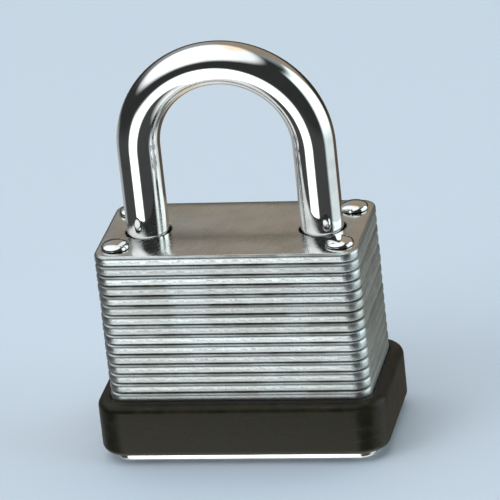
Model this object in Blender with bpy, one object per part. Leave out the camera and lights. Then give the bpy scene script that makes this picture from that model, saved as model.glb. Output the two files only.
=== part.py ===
"""Laminated safety padlock with a 40 mm body, closed and locked.

The frame is in metres with +Z up, and its origin is the centre of the body's underside.
X runs across the width in the shackle's plane: the heel, the shackle's long leg, is at +X and
the toe, its short leg, is at -X. The front of the body looks along -Y. The key goes in from below.
"""

import math

import bmesh
import bpy

# The body is a stack of punched plates, held by four rivets.
BODY_WIDTH = 0.0400
BODY_DEPTH = 0.0204
BODY_CORNER = 0.0025
PLATE_COUNT = 21
PLATE_PITCH = 0.0016
PLATE_GAP = 0.0001
CLEARANCE = 0.0002
RIVET_X = 0.0170
RIVET_Y = 0.0066
RIVET_RADIUS = 0.0015
RIVET_HOLE = 0.0016
RIVET_HEAD_RADIUS = 0.00215
RIVET_HEAD_HEIGHT = 0.0010
RIVET_FOOT_RADIUS = 0.0022
COUNTERSINK_DEPTH = 0.0008
CUTTER_MARGIN = 0.0003

# Plates by what their cut-outs hold, numbered from the bottom one, which is 1.
CYLINDER_PLATES = range(2, 15)
CAM_PLATES = range(15, 18)
DOG_PLATES = range(18, 20)

# The shackle is a round bar bent to a U.
SHACKLE_DIAMETER = 0.0065
SHACKLE_LEG_X = 0.0133
SHACKLE_CLEARANCE = 0.0234
SHACKLE_HOLE = 0.0035
SHACKLE_END_TAPER = 0.0006
TOE_END_Z = 0.0226
HEEL_END_Z = 0.0080
HEEL_BORE = 0.0045
HEEL_GROOVE_Z = 0.0093
HEEL_GROOVE_WIDTH = 0.0010
HEEL_GROOVE_RADIUS = 0.0026
HEEL_RING_MOUTH = math.radians(35)
NOTCH_DEPTH = 0.0011
NOTCH_DROP = 0.00205
NOTCH_HEADROOM = 0.0003
DRAIN_RADIUS = 0.0014

# The cylinder: a housing with a rail for the pin chambers, and the plug that turns in it.
HOUSING_RADIUS = 0.0066
HOUSING_BORE = 0.00535
HOUSING_TOP_Z = 0.0204
HOUSING_CHAMBER_END_X = -0.0040
RAIL_HALF_WIDTH = 0.0023
RAIL_END_X = 0.0130
COVER_THICKNESS = 0.0005
COVER_OVERLAP = 0.0015
PLUG_RADIUS = 0.00525
PLUG_FLANGE_RADIUS = 0.0055
PLUG_FACE_Z = 0.0002
PLUG_HOLE = 0.0057
PLUG_NECK_RADIUS = 0.0041
CLIP_Z = 0.02055
CLIP_THICKNESS = 0.0008
CLIP_RADIUS = 0.0064
CLIP_MOUTH = math.radians(40)
PLUG_END_Z = 0.0238
TENON_HALF_LENGTH = 0.0035
TENON_HALF_WIDTH = 0.0008
TENON_HEIGHT = 0.0025
KEYWAY_HALF_WIDTH = 0.00075
KEYWAY_FROM_X = -0.0046
KEYWAY_TO_X = 0.0033
KEYWAY_TOP_Z = 0.0195
WARD_HALF_GAP = 0.0003
WARD_FLANK = 0.0003
BACK_WARD_X = (-0.0013, -0.0001)
FRONT_WARD_X = (0.0009, 0.0021)

# The pins lie along X, one stack for each cut of the key.
PIN_RADIUS = 0.0012
PIN_EDGE = 0.0003
KEY_PIN_TIP_LENGTH = 0.0007
KEY_PIN_TIP_RADIUS = 0.0004
CHAMBER_RADIUS = 0.0014
FIRST_PIN_Z = 0.0060
PIN_PITCH = 0.0035
KEY_PIN_LENGTHS = (0.0031, 0.0025, 0.0034, 0.0028)
KEY_PIN_END_X = 0.00505
DRIVER_PIN_LENGTH = 0.0030
DRIVER_PIN_END_X = 0.00545
CHAMBER_FLOOR_X = -0.0005

# The cam's two crank pins draw the locking dogs in as the plug makes a quarter turn.
CAM_RADIUS = 0.0056
CAM_HOLE = 0.0058
CRANK_RADIUS = 0.0030
CRANK_PIN_RADIUS = 0.0007
CRANK_START = math.radians(45)
CAVITY_HALF_LENGTH = 0.0092
CAVITY_HALF_DEPTH = 0.0061
CHANNEL_HALF_DEPTH = 0.0030
DOG_TIP_HALF_DEPTH = 0.0028
DOG_ARM_NEAR_Y = 0.0002
DOG_ARM_FAR_Y = 0.0058
DOG_ARM_INNER_X = 0.0003
DOG_ARM_OUTER_X = 0.0090
DOG_BLOCK_X = 0.0084
DOG_SLOT_HALF_LENGTH = 0.00091
DOG_SLOT_NEAR_Y = 0.00125
DOG_SLOT_FAR_Y = 0.0039
DOG_SPRING_Y = 0.0044

# The springs are coils of round wire, made in steps round the coil and sides round the wire.
SHACKLE_SPRING = {"radius": 0.0034, "wire": 0.0009, "turns": 5, "steps": 12, "sides": 6}
DOG_SPRING = {"radius": 0.0010, "wire": 0.0004, "turns": 7, "steps": 8, "sides": 4}
PIN_SPRING = {"radius": 0.0009, "wire": 0.00035, "turns": 5, "steps": 8, "sides": 4}

# The rim bumper is a rubber band round the lower plates, held by a rib at front and back.
BUMPER_BOTTOM_Z = 0.0014
BUMPER_TOP_Z = 0.0099
BUMPER_WALL = 0.0021
BUMPER_FOOT_ROUNDING = 0.0011
BUMPER_SHOULDER_ROUNDING = 0.0013
RIB_HALF_LENGTH = 0.0120
RIB_DEPTH = 0.0013
RIB_ROOT = 0.0005

# Facets of the round shapes, and the angle between faces that makes an edge sharp.
CORNER_STEPS = 3
BUMPER_CORNER_STEPS = 5
ROUNDING_STEPS = 3
RIVET_SIDES = 8
HOLE_SIDES = 16
PIN_SIDES = 10
PLUG_SIDES = 24
SHACKLE_SIDES = 16
ARCH_STEPS = 20
KEYHOLE_STEPS = 20
MOUTH_STEPS = 11
RING_STEPS = 14
DOME_STEPS = 4
SHARP_ANGLE = math.radians(35)

# Points closer than this are the same point.
TINY = 1e-6

# Distances derived from the ones above.
PLATE_THICKNESS = PLATE_PITCH - PLATE_GAP
BODY_HEIGHT = PLATE_COUNT * PLATE_PITCH - PLATE_GAP
BAR_RADIUS = SHACKLE_DIAMETER / 2
ARCH_Z = BODY_HEIGHT + SHACKLE_CLEARANCE - (SHACKLE_LEG_X - BAR_RADIUS)
NOTCH_FLOOR = BAR_RADIUS - NOTCH_DEPTH
CYLINDER_FLOOR_Z = PLATE_THICKNESS + CLEARANCE


def plate_floor(number):
    return (number - 1) * PLATE_PITCH


def plate_top(number):
    return plate_floor(number) + PLATE_THICKNESS


CAM_TOP_Z = plate_top(CAM_PLATES[-1]) - PLATE_GAP
DOG_BOTTOM_Z = plate_floor(DOG_PLATES[0]) + PLATE_GAP
DOG_TOP_Z = plate_top(DOG_PLATES[-1]) - PLATE_GAP
DOG_TIP_X = SHACKLE_LEG_X - NOTCH_FLOOR - PLATE_GAP


# ---- materials ----

def material(name, colour, metallic, roughness):
    made = bpy.data.materials.new(name)
    made.use_nodes = True
    shader = made.node_tree.nodes["Principled BSDF"]
    shader.inputs["Base Color"].default_value = (*colour, 1.0)
    shader.inputs["Metallic"].default_value = metallic
    shader.inputs["Roughness"].default_value = roughness
    return made


def make_materials():
    return {
        "plate_steel": material("plate_steel", (0.52, 0.53, 0.50), 1.0, 0.32),
        "top_steel": material("top_steel", (0.62, 0.62, 0.60), 1.0, 0.12),
        "chrome": material("chrome", (0.80, 0.81, 0.82), 1.0, 0.05),
        "bumper_rubber": material("bumper_rubber", (0.018, 0.018, 0.014), 0.0, 0.45),
        "brass": material("brass", (0.66, 0.49, 0.21), 1.0, 0.30),
        "dark_steel": material("dark_steel", (0.30, 0.30, 0.31), 1.0, 0.40),
        "spring_steel": material("spring_steel", (0.50, 0.51, 0.53), 1.0, 0.25),
    }


# ---- outlines, as lists of (x, y) that run anticlockwise ----

def arc(centre_x, centre_y, radius, start, end, steps):
    angles = [start + (end - start) * step / steps for step in range(steps + 1)]
    return [(centre_x + radius * math.cos(a), centre_y + radius * math.sin(a)) for a in angles]


def circle(centre_x, centre_y, radius, sides):
    return arc(centre_x, centre_y, radius, 0, math.tau, sides)[:-1]


def rectangle(from_x, to_x, from_y, to_y):
    return [(from_x, from_y), (to_x, from_y), (to_x, to_y), (from_x, to_y)]


def rounded_rectangle(half_x, half_y, radius, steps):
    points = []
    for quarter, (side_x, side_y) in enumerate(((1, 1), (-1, 1), (-1, -1), (1, -1))):
        start = quarter * math.pi / 2
        corner_x = side_x * (half_x - radius)
        corner_y = side_y * (half_y - radius)
        points += arc(corner_x, corner_y, radius, start, start + math.pi / 2, steps)
    return points


def keyhole(radius, rail_half_width, rail_end_x):
    """A circle with a straight rail that runs from it towards -X."""
    meeting = math.pi - math.asin(rail_half_width / radius)
    rail = [(-rail_end_x, rail_half_width), (-rail_end_x, -rail_half_width)]
    return arc(0, 0, radius, -meeting, meeting, KEYHOLE_STEPS) + rail


def keyway_outline():
    """The slot for the key as it shows on the plug's face, with a ward on each side."""
    back_from, back_to = BACK_WARD_X
    front_from, front_to = FRONT_WARD_X
    return [
        (KEYWAY_FROM_X, -KEYWAY_HALF_WIDTH),
        (front_from, -KEYWAY_HALF_WIDTH),
        (front_from + WARD_FLANK, -WARD_HALF_GAP),
        (front_to - WARD_FLANK, -WARD_HALF_GAP),
        (front_to, -KEYWAY_HALF_WIDTH),
        (KEYWAY_TO_X, -KEYWAY_HALF_WIDTH),
        (KEYWAY_TO_X, KEYWAY_HALF_WIDTH),
        (back_to, KEYWAY_HALF_WIDTH),
        (back_to - WARD_FLANK, WARD_HALF_GAP),
        (back_from + WARD_FLANK, WARD_HALF_GAP),
        (back_from, KEYWAY_HALF_WIDTH),
        (KEYWAY_FROM_X, KEYWAY_HALF_WIDTH),
    ]


def dog_cavity():
    """The room for both dogs, open at each end into a shackle hole."""
    mouth = math.pi - math.asin(CHANNEL_HALF_DEPTH / SHACKLE_HOLE)
    half = arc(SHACKLE_LEG_X, 0, SHACKLE_HOLE, -mouth, mouth, MOUTH_STEPS)
    half.append((CAVITY_HALF_LENGTH, CHANNEL_HALF_DEPTH))
    half.append((CAVITY_HALF_LENGTH, CAVITY_HALF_DEPTH))
    half.insert(0, (CAVITY_HALF_LENGTH, -CHANNEL_HALF_DEPTH))
    half.insert(0, (CAVITY_HALF_LENGTH, -CAVITY_HALF_DEPTH))
    return half + [(-x, -y) for x, y in half]


def open_ring(inner, outer, mouth):
    """A ring with a gap of twice the mouth angle at +X."""
    far_side = arc(0, 0, outer, mouth, math.tau - mouth, RING_STEPS)
    near_side = arc(0, 0, inner, math.tau - mouth, mouth, RING_STEPS)
    return far_side + near_side


# ---- meshes ----

def prism(loops, bottom, top):
    """The first loop raised from bottom to top, with the other loops as holes through it."""
    mesh = bmesh.new()
    for loop in loops:
        corners = [mesh.verts.new((x, y, bottom)) for x, y in loop]
        for first, second in zip(corners, corners[1:] + corners[:1]):
            mesh.edges.new((first, second))
    bmesh.ops.triangle_fill(mesh, use_beauty=True, edges=mesh.edges[:], normal=(0, 0, 1))
    raised = bmesh.ops.extrude_face_region(mesh, geom=mesh.faces[:])
    moved = [item for item in raised["geom"] if isinstance(item, bmesh.types.BMVert)]
    bmesh.ops.translate(mesh, verts=moved, vec=(0, 0, top - bottom))
    bmesh.ops.recalc_face_normals(mesh, faces=mesh.faces[:])
    return mesh


def turned(profile, sides):
    """(radius, height) points turned about Z; the first and the last lie on the axis."""
    mesh = bmesh.new()
    points = [mesh.verts.new((radius, 0, height)) for radius, height in profile]
    edges = [mesh.edges.new(pair) for pair in zip(points, points[1:])]
    bmesh.ops.spin(
        mesh, geom=points + edges, cent=(0, 0, 0), axis=(0, 0, 1), angle=math.tau,
        steps=sides, use_merge=True,
    )
    bmesh.ops.remove_doubles(mesh, verts=mesh.verts[:], dist=TINY)
    bmesh.ops.recalc_face_normals(mesh, faces=mesh.faces[:])
    return mesh


def joined_rings(rings, closed):
    """Rings of equal length joined in turn: closed back to the first ring, or capped."""
    mesh = bmesh.new()
    made = [[mesh.verts.new(point) for point in ring] for ring in rings]
    pairs = list(zip(made, made[1:] + made[:1])) if closed else list(zip(made, made[1:]))
    for lower, upper in pairs:
        count = len(lower)
        for i in range(count):
            j = (i + 1) % count
            mesh.faces.new((lower[i], lower[j], upper[j], upper[i]))
    if not closed:
        mesh.faces.new(reversed(made[0]))
        mesh.faces.new(made[-1])
    bmesh.ops.recalc_face_normals(mesh, faces=mesh.faces[:])
    return mesh


def mesh_data(name, mesh, finish):
    data = bpy.data.meshes.new(name)
    mesh.to_mesh(data)
    mesh.free()
    data.shade_smooth()
    data.set_sharp_from_angle(angle=SHARP_ANGLE)
    data.materials.append(finish)
    return data


def add_object(name, data, location=(0, 0, 0), rotation=(0, 0, 0)):
    made = bpy.data.objects.new(name, data)
    made.location = location
    made.rotation_euler = rotation
    bpy.context.scene.collection.objects.link(made)
    return made


def add_piece(name, mesh, finish, location=(0, 0, 0), rotation=(0, 0, 0)):
    return add_object(name, mesh_data(name, mesh, finish), location, rotation)


def combine(target, name, mesh, operation, location=(0, 0, 0), rotation=(0, 0, 0)):
    """Cuts the mesh from the target, or unites it with the target, through a hidden helper."""
    helper = bpy.data.objects.new(name, bpy.data.meshes.new(name))
    mesh.to_mesh(helper.data)
    mesh.free()
    helper.location = location
    helper.rotation_euler = rotation
    helper.hide_render = True
    helper.display_type = "WIRE"
    bpy.context.scene.collection.objects.link(helper)
    modifier = target.modifiers.new(name, "BOOLEAN")
    modifier.operation = operation
    modifier.solver = "EXACT"
    modifier.object = helper


# ---- the plate stack ----

def rivet_spots():
    return {
        "rivet_front_left": (-RIVET_X, -RIVET_Y),
        "rivet_front_right": (RIVET_X, -RIVET_Y),
        "rivet_back_left": (-RIVET_X, RIVET_Y),
        "rivet_back_right": (RIVET_X, RIVET_Y),
    }


def rivet_holes():
    return [circle(x, y, RIVET_HOLE, RIVET_SIDES) for x, y in rivet_spots().values()]


def shackle_holes():
    return [circle(x, 0, SHACKLE_HOLE, HOLE_SIDES) for x in (-SHACKLE_LEG_X, SHACKLE_LEG_X)]


def body_outline():
    return rounded_rectangle(BODY_WIDTH / 2, BODY_DEPTH / 2, BODY_CORNER, CORNER_STEPS)


def ribbed_outline():
    """The body's outline with a shallow notch at front and back for the bumper's ribs."""
    half_y = BODY_DEPTH / 2
    notch_x = RIB_HALF_LENGTH + CLEARANCE
    notch_y = half_y - RIB_DEPTH - CLEARANCE
    outline = body_outline()
    quarter = CORNER_STEPS + 1
    back = [(notch_x, half_y), (notch_x, notch_y), (-notch_x, notch_y), (-notch_x, half_y)]
    front = [(-x, -y) for x, y in back]
    return outline[:quarter] + back + outline[quarter:3 * quarter] + front + outline[3 * quarter:]


def plate_mesh(outline, cutouts):
    return prism([outline, *rivet_holes(), *cutouts], 0, PLATE_THICKNESS)


def make_plates(finishes):
    cylinder_room = keyhole(
        HOUSING_RADIUS + CLEARANCE,
        RAIL_HALF_WIDTH + CLEARANCE,
        RAIL_END_X + PLATE_GAP + COVER_THICKNESS + CLEARANCE,
    )
    heel_bore = circle(SHACKLE_LEG_X, 0, HEEL_BORE, HOLE_SIDES)
    cam_room = circle(0, 0, CAM_HOLE, PLUG_SIDES)
    ribbed = plate_mesh(ribbed_outline(), [cylinder_room, heel_bore])
    add_piece("plate_02", ribbed, finishes["plate_steel"], (0, 0, plate_floor(2)))
    layers = (
        ("cylinder_plate", CYLINDER_PLATES[1:], [cylinder_room, heel_bore]),
        ("cam_plate", CAM_PLATES, [cam_room, *shackle_holes()]),
        ("dog_plate", DOG_PLATES, [dog_cavity()]),
        ("guide_plate", range(DOG_PLATES[-1] + 1, PLATE_COUNT), shackle_holes()),
    )
    for layer, numbers, cutouts in layers:
        data = mesh_data(layer, plate_mesh(body_outline(), cutouts), finishes["plate_steel"])
        for number in numbers:
            add_object(f"plate_{number:02d}", data, (0, 0, plate_floor(number)))
    top = plate_mesh(body_outline(), shackle_holes())
    add_piece("top_plate", top, finishes["top_steel"], (0, 0, plate_floor(PLATE_COUNT)))


def make_bottom_plate(finishes):
    plug_hole = circle(0, 0, PLUG_HOLE, PLUG_SIDES)
    drain = circle(SHACKLE_LEG_X, 0, DRAIN_RADIUS, RIVET_SIDES)
    plate = add_piece(
        "bottom_plate", plate_mesh(body_outline(), [plug_hole, drain]), finishes["plate_steel"]
    )
    wide = RIVET_FOOT_RADIUS + 2 * PLATE_GAP
    slope = (wide - RIVET_HOLE) / COUNTERSINK_DEPTH
    narrow = RIVET_HOLE / 2
    profile = [
        (0, -CUTTER_MARGIN),
        (wide + slope * CUTTER_MARGIN, -CUTTER_MARGIN),
        (narrow, (wide - narrow) / slope),
        (0, (wide - narrow) / slope),
    ]
    for number, (x, y) in enumerate(rivet_spots().values()):
        cutter = turned(profile, RIVET_SIDES)
        combine(plate, f"countersink_{number}", cutter, "DIFFERENCE", (x, y, 0))


def make_rivets(finishes):
    seat = BODY_HEIGHT + PLATE_GAP
    foot = PLATE_GAP / 2
    dome = [
        (
            RIVET_HEAD_RADIUS * math.cos(step * math.pi / 2 / DOME_STEPS),
            seat + RIVET_HEAD_HEIGHT * math.sin(step * math.pi / 2 / DOME_STEPS),
        )
        for step in range(DOME_STEPS)
    ]
    profile = [
        (0, foot),
        (RIVET_FOOT_RADIUS, foot),
        (RIVET_RADIUS, foot + COUNTERSINK_DEPTH),
        (RIVET_RADIUS, seat),
        *dome,
        (0, seat + RIVET_HEAD_HEIGHT),
    ]
    data = mesh_data("rivet", turned(profile, RIVET_SIDES), finishes["plate_steel"])
    for name, (x, y) in rivet_spots().items():
        add_object(name, data, (x, y, 0))


# ---- the shackle ----

def bar_ring(centre_x, centre_z, lean, radius):
    """A ring of the bar's section; lean is the angle of its outer side from +X in the XZ plane."""
    points = []
    for side in range(SHACKLE_SIDES):
        turn = math.tau * side / SHACKLE_SIDES
        out = radius * math.cos(turn)
        points.append((
            centre_x + out * math.cos(lean),
            radius * math.sin(turn),
            centre_z + out * math.sin(lean),
        ))
    return points


def notch_mesh():
    """The cut in a leg's inner side, in a frame where the leg's axis is X = 0 and the lock is at -X."""
    flank_z = DOG_BOTTOM_Z - NOTCH_DROP
    top = DOG_TOP_Z + NOTCH_HEADROOM
    side_view = [
        (-NOTCH_FLOOR, top),
        (-BAR_RADIUS - CUTTER_MARGIN, top),
        (-BAR_RADIUS - CUTTER_MARGIN, flank_z - CUTTER_MARGIN),
        (-NOTCH_FLOOR, flank_z + NOTCH_DEPTH),
    ]
    rings = [[(x, y, z) for x, z in side_view] for y in (-SHACKLE_DIAMETER, SHACKLE_DIAMETER)]
    return joined_rings(rings, closed=False)


def make_shackle(finishes):
    end_radius = BAR_RADIUS - SHACKLE_END_TAPER
    groove_top = HEEL_GROOVE_Z + HEEL_GROOVE_WIDTH
    heel = [
        (HEEL_END_Z, end_radius),
        (HEEL_END_Z + SHACKLE_END_TAPER, BAR_RADIUS),
        (HEEL_GROOVE_Z, BAR_RADIUS),
        (HEEL_GROOVE_Z, HEEL_GROOVE_RADIUS),
        (groove_top, HEEL_GROOVE_RADIUS),
        (groove_top, BAR_RADIUS),
    ]
    toe = [(TOE_END_Z + SHACKLE_END_TAPER, BAR_RADIUS), (TOE_END_Z, end_radius)]
    rings = [bar_ring(0, z, 0, radius) for z, radius in heel]
    for step in range(ARCH_STEPS + 1):
        lean = math.pi * step / ARCH_STEPS
        along_x = SHACKLE_LEG_X * (math.cos(lean) - 1)
        rings.append(bar_ring(along_x, ARCH_Z + SHACKLE_LEG_X * math.sin(lean), lean, BAR_RADIUS))
    rings += [bar_ring(-2 * SHACKLE_LEG_X, z, math.pi, radius) for z, radius in toe]
    shackle = add_piece(
        "shackle", joined_rings(rings, closed=False), finishes["chrome"], (SHACKLE_LEG_X, 0, 0)
    )
    combine(shackle, "heel_notch", notch_mesh(), "DIFFERENCE", (SHACKLE_LEG_X, 0, 0))
    turn_round = (0, 0, math.pi)
    combine(shackle, "toe_notch", notch_mesh(), "DIFFERENCE", (-SHACKLE_LEG_X, 0, 0), turn_round)


def make_heel_ring(finishes):
    outline = open_ring(HEEL_GROOVE_RADIUS + PLATE_GAP, HEEL_BORE - CLEARANCE, HEEL_RING_MOUTH)
    ring_top = HEEL_GROOVE_Z + HEEL_GROOVE_WIDTH - PLATE_GAP
    ring = prism([outline], HEEL_GROOVE_Z + PLATE_GAP, ring_top)
    add_piece("heel_retaining_ring", ring, finishes["dark_steel"], (SHACKLE_LEG_X, 0, 0))


# ---- springs ----

def add_spring(name, finish, sizes, length, location, rotation=(0, 0, 0)):
    """A coil of round wire that runs from its origin along its own Z."""
    radius = sizes["radius"]
    wire = sizes["wire"]
    curve = bpy.data.curves.new(name, "CURVE")
    curve.dimensions = "3D"
    curve.bevel_depth = wire / 2
    curve.bevel_resolution = (sizes["sides"] - 4) // 2
    curve.use_fill_caps = True
    spline = curve.splines.new("POLY")
    count = sizes["turns"] * sizes["steps"] + 1
    spline.points.add(count - 1)
    for number, point in enumerate(spline.points):
        angle = math.tau * number / sizes["steps"]
        rise = wire / 2 + (length - wire) * number / (count - 1)
        point.co = (radius * math.cos(angle), radius * math.sin(angle), rise, 1)
    curve.materials.append(finish)
    add_object(name, curve, location, rotation)


def make_springs(finishes):
    finish = finishes["spring_steel"]
    length = HEEL_END_Z - CYLINDER_FLOOR_Z - PLATE_GAP
    place = (SHACKLE_LEG_X, 0, CYLINDER_FLOOR_Z)
    add_spring("shackle_spring", finish, SHACKLE_SPRING, length, place)
    length = CAVITY_HALF_LENGTH + DOG_ARM_INNER_X - 2 * PLATE_GAP
    dog_mid_z = (DOG_BOTTOM_Z + DOG_TOP_Z) / 2
    for name, side in (("heel_dog_spring", 1), ("toe_dog_spring", -1)):
        place = (side * (PLATE_GAP - CAVITY_HALF_LENGTH), side * DOG_SPRING_Y, dog_mid_z)
        add_spring(name, finish, DOG_SPRING, length, place, (0, side * math.pi / 2, 0))
    driver_back_x = DRIVER_PIN_END_X + DRIVER_PIN_LENGTH + PLATE_GAP
    length = RAIL_END_X - driver_back_x
    for number in range(len(KEY_PIN_LENGTHS)):
        place = (-driver_back_x, 0, pin_z(number))
        name = f"pin_spring_{number + 1}"
        add_spring(name, finish, PIN_SPRING, length, place, (0, -math.pi / 2, 0))


# ---- the cylinder ----

def pin_z(number):
    return FIRST_PIN_Z + number * PIN_PITCH


def chamber(from_x, to_x):
    """A pin chamber's cutter, which runs along its own Z by the distance between the two places."""
    return prism([circle(0, 0, CHAMBER_RADIUS, PIN_SIDES)], 0, to_x - from_x)


def make_housing(finishes):
    outline = keyhole(HOUSING_RADIUS, RAIL_HALF_WIDTH, RAIL_END_X)
    bore = circle(0, 0, HOUSING_BORE, PLUG_SIDES)
    block = prism([outline, bore], CYLINDER_FLOOR_Z, HOUSING_TOP_Z)
    housing = add_piece("cylinder_housing", block, finishes["brass"])
    start = -RAIL_END_X - CLEARANCE
    along_x = (0, math.pi / 2, 0)
    for number in range(len(KEY_PIN_LENGTHS)):
        place = (start, 0, pin_z(number))
        cutter = chamber(start, HOUSING_CHAMBER_END_X)
        combine(housing, f"housing_chamber_{number + 1}", cutter, "DIFFERENCE", place, along_x)
    chambers_low_z = pin_z(0) - CHAMBER_RADIUS
    chambers_high_z = pin_z(len(KEY_PIN_LENGTHS) - 1) + CHAMBER_RADIUS
    far_x = -RAIL_END_X - PLATE_GAP
    outline = rectangle(far_x - COVER_THICKNESS, far_x, -RAIL_HALF_WIDTH, RAIL_HALF_WIDTH)
    cover = prism([outline], chambers_low_z - COVER_OVERLAP, chambers_high_z + COVER_OVERLAP)
    add_piece("pin_chamber_cover", cover, finishes["brass"])


def make_plug(finishes):
    flange_top = CYLINDER_FLOOR_Z - PLATE_GAP
    groove_z = CLIP_Z - PLATE_GAP
    groove_top = CLIP_Z + CLIP_THICKNESS + PLATE_GAP
    profile = [
        (0, PLUG_FACE_Z),
        (PLUG_FLANGE_RADIUS, PLUG_FACE_Z),
        (PLUG_FLANGE_RADIUS, flange_top),
        (PLUG_RADIUS, flange_top),
        (PLUG_RADIUS, groove_z),
        (PLUG_NECK_RADIUS, groove_z),
        (PLUG_NECK_RADIUS, groove_top),
        (PLUG_RADIUS, groove_top),
        (PLUG_RADIUS, PLUG_END_Z),
        (0, PLUG_END_Z),
    ]
    plug = add_piece("plug", turned(profile, PLUG_SIDES), finishes["brass"])
    keyway = prism([keyway_outline()], -CUTTER_MARGIN, KEYWAY_TOP_Z)
    combine(plug, "keyway", keyway, "DIFFERENCE")
    start = -HOUSING_RADIUS
    for number in range(len(KEY_PIN_LENGTHS)):
        place = (start, 0, pin_z(number))
        cutter = chamber(start, CHAMBER_FLOOR_X)
        combine(plug, f"plug_chamber_{number + 1}", cutter, "DIFFERENCE", place, (0, math.pi / 2, 0))
    outline = rectangle(
        -TENON_HALF_LENGTH, TENON_HALF_LENGTH, -TENON_HALF_WIDTH, TENON_HALF_WIDTH
    )
    tenon = prism([outline], PLUG_END_Z - PLATE_PITCH, PLUG_END_Z + TENON_HEIGHT)
    combine(plug, "tenon", tenon, "UNION")
    outline = open_ring(PLUG_NECK_RADIUS + PLATE_GAP, CLIP_RADIUS, CLIP_MOUTH)
    clip = prism([outline], CLIP_Z, CLIP_Z + CLIP_THICKNESS)
    add_piece("plug_retaining_clip", clip, finishes["spring_steel"])


def make_pins(finishes):
    """Each stack as the right key holds it, parted at the plug's surface."""
    driver_profile = [
        (0, 0),
        (PIN_RADIUS - PIN_EDGE, 0),
        (PIN_RADIUS, PIN_EDGE),
        (PIN_RADIUS, DRIVER_PIN_LENGTH),
        (0, DRIVER_PIN_LENGTH),
    ]
    driver = mesh_data("driver_pin", turned(driver_profile, PIN_SIDES), finishes["spring_steel"])
    for number, length in enumerate(KEY_PIN_LENGTHS):
        profile = [
            (0, 0),
            (PIN_RADIUS - PIN_EDGE, 0),
            (PIN_RADIUS, PIN_EDGE),
            (PIN_RADIUS, length - KEY_PIN_TIP_LENGTH),
            (KEY_PIN_TIP_RADIUS, length),
            (0, length),
        ]
        place = (-KEY_PIN_END_X, 0, pin_z(number))
        name = f"key_pin_{number + 1}"
        add_piece(name, turned(profile, PIN_SIDES), finishes["brass"], place, (0, math.pi / 2, 0))
        place = (-DRIVER_PIN_END_X, 0, pin_z(number))
        add_object(f"driver_pin_{number + 1}", driver, place, (0, -math.pi / 2, 0))


# ---- the locking mechanism ----

def make_cam(finishes):
    slot = rectangle(
        -TENON_HALF_LENGTH - CLEARANCE,
        TENON_HALF_LENGTH + CLEARANCE,
        -TENON_HALF_WIDTH - CLEARANCE,
        TENON_HALF_WIDTH + CLEARANCE,
    )
    disc = prism([circle(0, 0, CAM_RADIUS, PLUG_SIDES), slot], PLUG_END_Z + CLEARANCE, CAM_TOP_Z)
    cam = add_piece("cam_disc", disc, finishes["dark_steel"])
    crank_bottom = CAM_TOP_Z - PLATE_PITCH
    crank_top = DOG_TOP_Z - CLEARANCE
    for number, angle in enumerate((CRANK_START, CRANK_START + math.pi)):
        pin = prism([circle(0, 0, CRANK_PIN_RADIUS, PIN_SIDES)], crank_bottom, crank_top)
        place = (CRANK_RADIUS * math.cos(angle), CRANK_RADIUS * math.sin(angle), 0)
        combine(cam, f"crank_pin_{number}", pin, "UNION", place)


def dog_mesh():
    """The heel's dog: a tip that locks the leg, and an arm beside the centre with the cam's slot."""
    outline = [
        (DOG_ARM_INNER_X, DOG_ARM_NEAR_Y),
        (DOG_BLOCK_X, DOG_ARM_NEAR_Y),
        (DOG_BLOCK_X, -DOG_TIP_HALF_DEPTH),
        (DOG_TIP_X, -DOG_TIP_HALF_DEPTH),
        (DOG_TIP_X, DOG_TIP_HALF_DEPTH),
        (DOG_ARM_OUTER_X, DOG_TIP_HALF_DEPTH),
        (DOG_ARM_OUTER_X, DOG_ARM_FAR_Y),
        (DOG_ARM_INNER_X, DOG_ARM_FAR_Y),
    ]
    slot_x = CRANK_RADIUS * math.cos(CRANK_START)
    slot_from_x = slot_x - DOG_SLOT_HALF_LENGTH
    slot_to_x = slot_x + DOG_SLOT_HALF_LENGTH
    slot = rectangle(slot_from_x, slot_to_x, DOG_SLOT_NEAR_Y, DOG_SLOT_FAR_Y)
    mesh = prism([outline, slot], DOG_BOTTOM_Z, DOG_TOP_Z)
    tip_edges = [
        edge for edge in mesh.edges
        if all(v.co.x > DOG_TIP_X - TINY and v.co.z < DOG_BOTTOM_Z + TINY for v in edge.verts)
    ]
    bmesh.ops.bevel(mesh, geom=tip_edges, offset=NOTCH_DEPTH, segments=1, affect="EDGES")
    return mesh


def make_dogs(finishes):
    data = mesh_data("dog", dog_mesh(), finishes["dark_steel"])
    add_object("heel_dog", data)
    add_object("toe_dog", data, rotation=(0, 0, math.pi))


# ---- the rim bumper ----

def bumper_section():
    """The band's section as (distance out from the body, height), anticlockwise from its inner foot."""
    foot = BUMPER_FOOT_ROUNDING
    shoulder = BUMPER_SHOULDER_ROUNDING
    quarter = math.pi / 2
    foot_z = BUMPER_BOTTOM_Z + foot
    shoulder_z = BUMPER_TOP_Z - shoulder
    lower = arc(BUMPER_WALL - foot, foot_z, foot, -quarter, 0, ROUNDING_STEPS)
    upper = arc(BUMPER_WALL - shoulder, shoulder_z, shoulder, 0, quarter, ROUNDING_STEPS)
    return [(PLATE_GAP, BUMPER_BOTTOM_Z), *lower, *upper, (PLATE_GAP, BUMPER_TOP_Z)]


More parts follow.
